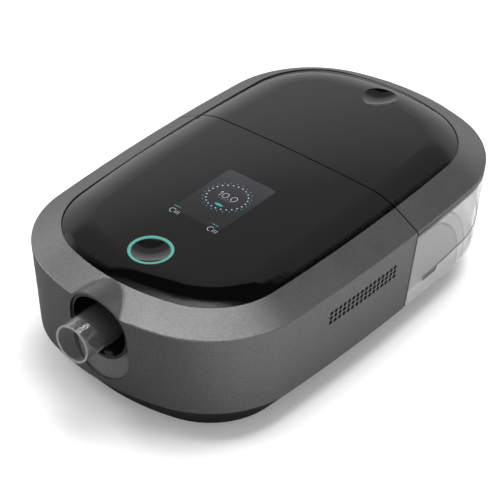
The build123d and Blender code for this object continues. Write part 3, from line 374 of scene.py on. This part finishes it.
def tank_painted_shade(tree, across, along, height, above_line):
    """1 where the tank gets painted shade: its moulded line, the seam and the shadow under the
    lid.
    """
    tank_low, tank_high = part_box("water_tank")
    lid_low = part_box("lid_bezel")[0]
    line_start = casing_y + LINE_START_Y
    # painted shade along the moulded line
    line_shade = combine(
        tree,
        "MULTIPLY",
        fade(tree, above_line, -LINE_SHADE_WIDTH / 2, 0.0),
        fade(tree, above_line, 1.5 * LINE_SHADE_WIDTH, LINE_SHADE_WIDTH),
        fade(tree, along, line_start - LINE_SHADE_WIDTH, line_start),
    )
    # the seam leans forward towards the foot
    lean = fade(tree, height, tank_high.z, tank_low.z)
    lean = arithmetic(tree, "MULTIPLY", lean, tank_low.y - lid_low.y)
    from_seam = combine(tree, "SUBTRACT", along, lean, lid_low.y)
    full, gone = SEAM_SHADE
    wall_full, wall_gone = SIDE_WALL
    from_middle = arithmetic(tree, "ABSOLUTE", across)
    # painted shade along the seam, on the side walls only
    seam_shade = combine(
        tree,
        "MULTIPLY",
        fade(tree, from_seam, gone, full),
        fade(tree, from_middle, tank_high.x - wall_gone, tank_high.x - wall_full),
    )
    # painted shadow under the lid
    full, gone = LID_SHADOW
    under_lid = fade(tree, height, lid_low.z - gone, lid_low.z - full)
    return combine(tree, "MAXIMUM", line_shade, seam_shade, under_lid)


def tank_plastic(name, colour, alpha, rough):
    """Clear moulded tank: two arcs, painted shade on its edges and a paler foot below its moulded
    line.
    """
    material, tree, shader = new_material(name, rough)
    across, along, height = place(tree)
    radius = distance(tree, along, height, ARC_MIDDLE_Y, ARC_MIDDLE_Z)
    arcs = ramp(tree, fade(tree, radius, *ARC_SPAN), ARC_TONES)
    above_line = height_above_line(tree, along, height)
    # painted shade on the tank's edges
    painted_shade = tank_painted_shade(tree, across, along, height, above_line)
    foot = fade(tree, above_line, 0.0, -FOOT_FADE)
    level = combine(
        tree,
        "MULTIPLY",
        arcs,
        spread(tree, foot, 1.0, FOOT_BRIGHTNESS),
        spread(tree, painted_shade, 1.0, SHADE_TONE),
    )
    shade = tree.nodes.new("ShaderNodeVectorMath")
    shade.operation = "SCALE"
    tint = two_tone(tree, noise(tree, 40, 3), scaled(colour, 0.95), colour)
    tree.links.new(tint, shade.inputs[0])
    tree.links.new(level, shade.inputs["Scale"])
    tree.links.new(shade.outputs["Vector"], shader.inputs["Base Color"])
    film = spread(tree, noise(tree, 900, 2), alpha - 0.02, alpha + 0.02)
    # the painted shade also makes the wall less clear
    cover = combine(tree, "MAXIMUM", film, arithmetic(tree, "MULTIPLY", painted_shade, SHADE_COVER))
    tree.links.new(cover, shader.inputs["Alpha"])
    return material


def glassy_plastic(name, colour, rough):
    """Smoky moulded tube with real refraction; its cut end gets a painted highlight, pale and less
    clear.
    """
    material, tree, shader = new_material(name, rough, ior=1.49)
    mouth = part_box("outlet_tube")[0].y
    # painted highlight: the cut end is paler and less clear
    end = fade(tree, place(tree)[1], mouth + RIM_HIGHLIGHT_DEPTH, mouth)
    tree.links.new(ramp(tree, end, [(0.0, colour), (0.5, 0.45)]), shader.inputs["Base Color"])
    tree.links.new(spread(tree, end, 0.98, 0.45), shader.inputs["Transmission Weight"])
    uneven_gloss(tree, shader, noise(tree, 60, 2, (1, 0.2, 1)), rough * 0.7, rough * 1.5)
    return material


def metal(name, dark, light, rough, brushed=(1, 1, 1)):
    """Bare metal with brushing along the stretched direction."""
    material, tree, shader = new_material(name, rough, 1.0)
    grain = noise(tree, 700, 3, brushed)
    tree.links.new(two_tone(tree, grain, dark, light), shader.inputs["Base Color"])
    uneven_gloss(tree, shader, grain, rough - 0.06, rough + 0.08)
    bump(tree, shader, grain, 0.004 * MM, 0.4)
    return material


def lit(name, colour, strength=1.0):
    """A lit light guide or display mark, a touch uneven like a back-lit print."""
    material, tree, shader = new_material(name, 0.3)
    colours = two_tone(tree, noise(tree, 500, 1), scaled(colour, 0.88), colour)
    tree.links.new(colours, shader.inputs["Emission Color"])
    shader.inputs["Emission Strength"].default_value = strength
    shader.inputs["Base Color"].default_value = (*scaled(colour, 0.12), 1)
    return material


def lit_ring(name, colour, strength):
    """The lit ring round the button, brightest along its middle."""
    material = lit(name, colour, strength)
    tree = material.node_tree
    ring_low, ring_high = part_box("light_ring")
    middle = (ring_low + ring_high) / 2
    outer = ring_high.x - middle.x
    across, along, _ = place(tree)
    radius = distance(tree, across, along, middle.x, middle.y)
    glow = combine(
        tree,
        "MULTIPLY",
        fade(tree, radius, outer - RING_WIDTH, outer - RING_WIDTH / 2),
        fade(tree, radius, outer, outer - RING_WIDTH / 2),
    )
    glow = combine(tree, "MULTIPLY", spread(tree, glow, 0.45, 1.6), strength)
    tree.links.new(glow, tree.nodes["Principled BSDF"].inputs["Emission Strength"])
    return material


def circuit_board(name):
    """Green lacquer with paler tracks."""
    material, tree, shader = new_material(name, 0.35)
    coord = tree.nodes.new("ShaderNodeTexCoord")
    brick = tree.nodes.new("ShaderNodeTexBrick")
    brick.inputs["Scale"].default_value = 160
    brick.inputs["Color1"].default_value = (0.012, 0.10, 0.045, 1)
    brick.inputs["Color2"].default_value = (0.018, 0.13, 0.06, 1)
    brick.inputs["Mortar"].default_value = (0.06, 0.26, 0.12, 1)
    tree.links.new(coord.outputs["Object"], brick.inputs["Vector"])
    tree.links.new(brick.outputs["Color"], shader.inputs["Base Color"])
    bump(tree, shader, brick.outputs["Fac"], 0.03 * MM)
    return material


def felt(name, colour):
    """Felted filter cloth."""
    material, tree, shader = new_material(name, 0.9)
    fibres = noise(tree, 1100, 6, (1, 0.35, 1))
    colours = two_tone(tree, fibres, scaled(colour, 0.7), colour, 0.35, 0.65)
    tree.links.new(colours, shader.inputs["Base Color"])
    shader.inputs["Sheen Weight"].default_value = 0.3
    bump(tree, shader, fibres, 0.2 * MM)
    return material


def display_glass(name):
    """Black pane whose lit area behind the glass glows faintly and fades towards the front."""
    material, tree, shader = new_material(name, 0.04)
    pane_low, pane_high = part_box("display_window")
    glow = ramp(
        tree,
        fade(tree, place(tree)[1], pane_low.y, pane_high.y),
        [(0.0, (0.0, 0.0, 0.0)), (0.35, (0.004, 0.004, 0.005)), (1.0, (0.028, 0.027, 0.031))],
    )
    tree.links.new(glow, shader.inputs["Emission Color"])
    shader.inputs["Emission Strength"].default_value = 1.0
    shader.inputs["Base Color"].default_value = (0.008, 0.008, 0.009, 1)
    uneven_gloss(tree, shader, noise(tree, 25, 3), 0.02, 0.06)
    return material


materials = {
    "housing": grained_plastic("housing", 0.13, 0.22, 0.42, 0.95, grain=2200, relief=0.012),
    "base": grained_plastic("base", 0.008, 0.016, 0.45),
    "rubber": grained_plastic("rubber", 0.015, 0.03, 0.75, relief=0.05),
    "screw_steel": metal("screw_steel", 0.42, 0.62, 0.3),
    "black_gloss": gloss_plastic("black_gloss", (0.006, 0.006, 0.008), 0.12),
    "outlet_trim": grained_plastic("outlet_trim", 0.085, 0.115, 0.3, relief=0.01),
    "smoky_clear": glassy_plastic("smoky_clear", (0.84, 0.85, 0.86), 0.02),
    "contact": grained_plastic("contact", 0.006, 0.012, 0.4),
    "top_gloss": gloss_plastic("top_gloss", (0.0015, 0.0015, 0.0016), 0.03),
    "display_pane": display_glass("display_pane"),
    "display": gloss_plastic("display", (0.004, 0.004, 0.005), 0.1),
    "teal_light": lit_ring("teal_light", (0.19, 0.71, 0.61), 0.95),
    "button_gloss": gloss_plastic("button_gloss", (0.006, 0.006, 0.0062), 0.04),
    "board": circuit_board("board"),
    "inner_plastic": grained_plastic("inner_plastic", 0.10, 0.14, 0.5),
    "motor_steel": metal("motor_steel", 0.35, 0.5, 0.35, (1, 1, 0.05)),
    "heater_metal": metal("heater_metal", 0.55, 0.7, 0.35),
    "plate_metal": metal("plate_metal", 0.5, 0.65, 0.28),
    "tank_clear": tank_plastic("tank_clear", (0.70, 0.705, 0.71), 0.48, 0.2),
    "seal": grained_plastic("seal", 0.06, 0.09, 0.6),
    "filter_media": felt("filter_media", (0.72, 0.72, 0.68)),
    "impeller_plastic": grained_plastic("impeller_plastic", 0.45, 0.52, 0.45),
}
seam_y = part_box("top_panel")[1].y
flat_band(materials["top_gloss"], seam_y - FLAT_BAND, seam_y)
slot_of = {s["node"]: s["material_slot"] for s in frame["record"]["subparts"]}
for node_name, node in nodes.items():
    node.data.materials.clear()
    node.data.materials.append(materials[slot_of[node_name]])

mark_white = lit("mark_white", (0.55, 0.62, 0.63))
mark_grey = lit("mark_grey", (0.12, 0.12, 0.12))
mark_teal = lit("mark_teal", (0.05, 0.33, 0.31))
mark_dim_teal = lit("mark_dim_teal", (0.05, 0.26, 0.25))


# --- Display marks ---


def mesh_of(name, bm):
    """Turns a finished bmesh into a mesh."""
    mesh = bpy.data.meshes.new(name)
    bm.to_mesh(mesh)
    bm.free()
    return mesh


def crown_height(x, y):
    """Height of the crowned top at a place, near its middle."""
    along = y - casing_y
    return CROWN_Z - x * x / (2 * CROWN_RADIUS_X) - along * along / (2 * CROWN_RADIUS_Y)


def mark_object(name, bm, material):
    """A flat mark laid on the crown, riding with the machine."""
    mesh = mesh_of(name, bm)
    for vertex in mesh.vertices:
        vertex.co.z += crown_height(vertex.co.x, vertex.co.y) + MARK_LIFT
    mesh.materials.append(material)
    obj = bpy.data.objects.new(name, mesh)
    bpy.context.collection.objects.link(obj)
    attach(obj, "chassis")


def flat_discs(name, centres, radius, material, sides=DOT_SIDES):
    """Thin round dots in one mesh."""
    bm = bmesh.new()
    for x, y in centres:
        bmesh.ops.create_cone(
            bm,
            cap_ends=True,
            segments=sides,
            radius1=radius,
            radius2=radius * DISC_TAPER,
            depth=MARK_THICKNESS,
            matrix=Matrix.Translation((x, y, MARK_THICKNESS / 2)),
        )
    mark_object(name, bm, material)


def flat_strokes(name, lines, width, material, closed=False):
    """Pen strokes with square ends, each a list of (x, y) points, in one mesh."""
    bm = bmesh.new()
    for line in lines:
        points = [Vector((x, y, 0)) for x, y in line]
        count = len(points)
        rows = []
        for i, point in enumerate(points):
            before = points[i - 1] if (i or closed) else point
            after = points[(i + 1) % count] if (i < count - 1 or closed) else point
            along = (after - before).normalized()
            across = Vector((-along.y, along.x, 0)) * width / 2
            rows.append([bm.verts.new(point + across), bm.verts.new(point - across)])
        steps = count if closed else count - 1
        for i in range(steps):
            a, b = rows[i], rows[(i + 1) % count]
            bm.faces.new((a[0], a[1], b[1], b[0]))
    bmesh.ops.recalc_face_normals(bm, faces=bm.faces)
    for face in bm.faces:
        if face.normal.z < 0:
            face.normal_flip()
    mark_object(name, bm, material)


def arc(middle_x, middle_y, radius_x, radius_y, start, end, count):
    """Points along an ellipse's arc in count steps, angles in degrees."""
    angles = [math.radians(start + (end - start) * i / count) for i in range(count + 1)]
    return [(middle_x + radius_x * math.cos(a), middle_y + radius_y * math.sin(a)) for a in angles]


def dial_places(radius, turned):
    """Places of the dots round the dial, turned by a share of a step."""
    turns = [2 * math.pi * (i + turned) / DOT_COUNT for i in range(DOT_COUNT)]
    return [(radius * math.cos(t), casing_y + DIAL_Y + radius * math.sin(t)) for t in turns]


def reading_marks():
    """The reading 10.0 with a rule under it."""
    middle = casing_y + DIGIT_Y
    foot, head = middle - DIGIT_HEIGHT / 2, middle + DIGIT_HEIGHT / 2
    stem = [(ONE_X, foot), (ONE_X, head)]
    flag = [(ONE_X - ONE_FLAG, head - ONE_FLAG), (ONE_X, head)]
    flat_strokes("display_one", [stem, flag], DIGIT_STROKE, mark_white)
    last_turn = 360 - 360 / ZERO_POINTS
    for i, x in enumerate(ZERO_XS):
        zero = arc(x, middle, DIGIT_WIDTH / 2, DIGIT_HEIGHT / 2, 0, last_turn, ZERO_POINTS - 1)
        flat_strokes(f"display_zero_{i + 1}", [zero], DIGIT_STROKE, mark_white, closed=True)
    flat_discs("display_point", [(POINT_X, foot)], POINT_RADIUS, mark_white)
    rule = [(x, casing_y + RULE_Y) for x in RULE_ENDS]
    flat_strokes("display_rule", [rule], RULE_WIDTH, mark_grey)


def leaf_mark():
    """A leaf between two arcs."""
    y = casing_y + LEAF_Y
    upper = arc(LEAF_X, y - LEAF_HOLLOW, LEAF_REACH, LEAF_RISE, *LEAF_UPPER_TURN, LEAF_STEPS)
    lower = arc(LEAF_X, y, LEAF_REACH, LEAF_DROP, *LEAF_LOWER_TURN, LEAF_STEPS)
    leaf = bmesh.new()
    leaf.faces.new([leaf.verts.new((x, y, 0)) for x, y in upper + lower])
    bmesh.ops.triangulate(leaf, faces=leaf.faces)
    mark_object("display_leaf", leaf, mark_teal)


def icon_marks(side, x):
    """A small icon: an open cup and three bars, with a dash above."""
    y = casing_y + ICON_Y
    cup = arc(x + CUP_X, y, *CUP_RADII, *CUP_TURN, CUP_STEPS)
    bars = [[(x + bar_x, y + bar_y) for bar_y in BAR_YS] for bar_x in BAR_XS]
    flat_strokes(f"icon_{side}", [cup, *bars], ICON_STROKE, mark_white)
    dash = [(x + dash_x, y + DASH_Y) for dash_x in DASH_XS]
    flat_strokes(f"icon_dash_{side}", [dash], DASH_WIDTH, mark_teal)


flat_discs("display_dots", dial_places(DOT_RING, 0.5), DOT_RADIUS, mark_white)
flat_discs("display_halo", dial_places(HALO_RING, 0), HALO_RADIUS, mark_dim_teal, HALO_SIDES)
reading_marks()
leaf_mark()
icon_marks("left", -ICON_X)
icon_marks("right", ICON_X)


# --- Studio ---


def reflected_light(tree, across, depth, height):
    """Strength of what reflections see: the horizon all round, a backdrop behind the object that
    ends high up, a slanted soft box overhead, a strip at the left, and a dark room elsewhere."""
    backdrop = combine(
        tree,
        "MULTIPLY",
        fade(tree, height, *BACKDROP_Z),
        fade(tree, across, *BACKDROP_X),
        fade(tree, depth, *BACKDROP_Y),
    )
    slant = arithmetic(tree, "MULTIPLY", across, BOX_SLANT)
    edge = arithmetic(tree, "SUBTRACT", depth, slant)
    core = combine(
        tree,
        "MULTIPLY",
        fade(tree, edge, *CORE_EDGE),
        spread(tree, fade(tree, across, *CORE_X), *CORE_LIGHT),
    )
    box = combine(tree, "MAXIMUM", fade(tree, edge, *BOX_EDGE), core)
    box = combine(tree, "MULTIPLY", box, fade(tree, height, *BOX_Z))
    strip = combine(
        tree,
        "MULTIPLY",
        fade(tree, across, *STRIP_X),
        fade(tree, depth, *STRIP_Y),
        fade(tree, height, *STRIP_Z),
        STRIP_LIGHT,
    )
    return combine(tree, "MAXIMUM", backdrop, fade(tree, height, *HORIZON_Z), strip, box)


def background(tree, colour, strength=1.0):
    """A world background; its colour and strength are sockets or plain values."""
    node = tree.nodes.new("ShaderNodeBackground")
    for name, value in (("Color", colour), ("Strength", strength)):
        if isinstance(value, bpy.types.NodeSocket):
            tree.links.new(value, node.inputs[name])
        else:
            node.inputs[name].default_value = value
    return node.outputs[0]


def choose(tree, factor, otherwise, chosen):
    """The chosen background where the factor is 1, the other one where it is 0."""
    node = tree.nodes.new("ShaderNodeMixShader")
    tree.links.new(factor, node.inputs["Fac"])
    tree.links.new(otherwise, node.inputs[1])
    tree.links.new(chosen, node.inputs[2])
    return node.outputs[0]


def studio_world():
    """White behind the object, a shaped studio in its reflections and even light on matt faces."""
    world = bpy.data.worlds.new("studio")
    bpy.context.scene.world = world
    world.use_nodes = True
    tree = world.node_tree
    tree.nodes.clear()
    coord = tree.nodes.new("ShaderNodeTexCoord")
    split = tree.nodes.new("ShaderNodeSeparateXYZ")
    tree.links.new(coord.outputs["Generated"], split.inputs["Vector"])
    across, depth, height = split.outputs["X"], split.outputs["Y"], split.outputs["Z"]
    tones = ramp(tree, height, REFLECTED_TONES)
    reflected = background(tree, tones, reflected_light(tree, across, depth, height))
    ambient = background(tree, (SKY_DIFFUSE, SKY_DIFFUSE, SKY_DIFFUSE, 1))
    white = background(tree, (1, 1, 1, 1))
    path = tree.nodes.new("ShaderNodeLightPath")
    seen = combine(
        tree, "MAXIMUM", path.outputs["Is Camera Ray"], path.outputs["Is Transmission Ray"]
    )
    unseen_light = choose(tree, path.outputs["Is Glossy Ray"], ambient, reflected)
    output = tree.nodes.new("ShaderNodeOutputWorld")
    tree.links.new(choose(tree, seen, unseen_light, white), output.inputs["Surface"])


def studio_floor():
    """White table that keeps the object's soft shadow."""
    bm = bmesh.new()
    bmesh.ops.create_grid(bm, x_segments=2, y_segments=2, size=FLOOR_SIZE / 2)
    mesh = mesh_of("floor", bm)
    material, tree, shader = new_material("floor_white", 0.9)
    shader.inputs["Specular IOR Level"].default_value = 0.0
    path = tree.nodes.new("ShaderNodeLightPath")
    # painted shade: the table is darker where reflections see it
    reflected_shade = spread(tree, fade(tree, place(tree)[0], *FLOOR_SHADE_X), *FLOOR_SHADE)
    reflected_shade = combine(tree, "MULTIPLY", reflected_shade, path.outputs["Is Glossy Ray"])
    tone = combine(tree, "SUBTRACT", FLOOR_TONE, reflected_shade)
    tree.links.new(tone, shader.inputs["Base Color"])
    glow = combine(tree, "MULTIPLY", path.outputs["Is Camera Ray"], FLOOR_GLOW)
    tree.links.new(glow, shader.inputs["Emission Strength"])
    shader.inputs["Emission Color"].default_value = (1, 1, 1, 1)
    mesh.materials.append(material)
    floor = bpy.data.objects.new("floor", mesh)
    bpy.context.collection.objects.link(floor)


def square_lamp(name, spot, size, power, in_reflections):
    """Square lamp aimed at the object; it lights matt faces, and reflections may see it too."""
    data = bpy.data.lights.new(name, "AREA")
    data.shape = "SQUARE"
    data.size = size
    data.energy = power
    lamp = bpy.data.objects.new(name, data)
    lamp.location = spot
    lamp.rotation_mode = "QUATERNION"
    lamp.rotation_quaternion = (CAMERA_TARGET - Vector(spot)).to_track_quat("-Z", "Y")
    lamp.visible_glossy = in_reflections
    bpy.context.collection.objects.link(lamp)


def studio_camera():
    """Long lens at the photograph's angle."""
    azimuth, elevation = CAMERA_AZIMUTH, CAMERA_ELEVATION
    back = Vector(
        (
            math.sin(azimuth) * math.cos(elevation),
            -math.cos(azimuth) * math.cos(elevation),
            math.sin(elevation),
        )
    )
    data = bpy.data.cameras.new("camera")
    data.lens = CAMERA_LENS
    data.sensor_width = SENSOR_WIDTH
    data.clip_start = CAMERA_CLIP
    camera = bpy.data.objects.new("camera", data)
    camera.location = CAMERA_TARGET + back * CAMERA_DISTANCE
    camera.rotation_mode = "QUATERNION"
    level = (-back).to_track_quat("-Z", "Y")
    camera.rotation_quaternion = Quaternion(back, CAMERA_ROLL) @ level
    bpy.context.collection.objects.link(camera)
    bpy.context.scene.camera = camera


studio_world()
studio_floor()
square_lamp("key", spot=(0.08, 0.4, 1.75), size=1.2, power=36, in_reflections=False)
square_lamp("window", spot=(-0.52, -0.68, 1.25), size=0.4, power=3, in_reflections=True)
studio_camera()
bpy.context.scene.view_settings.view_transform = "Standard"
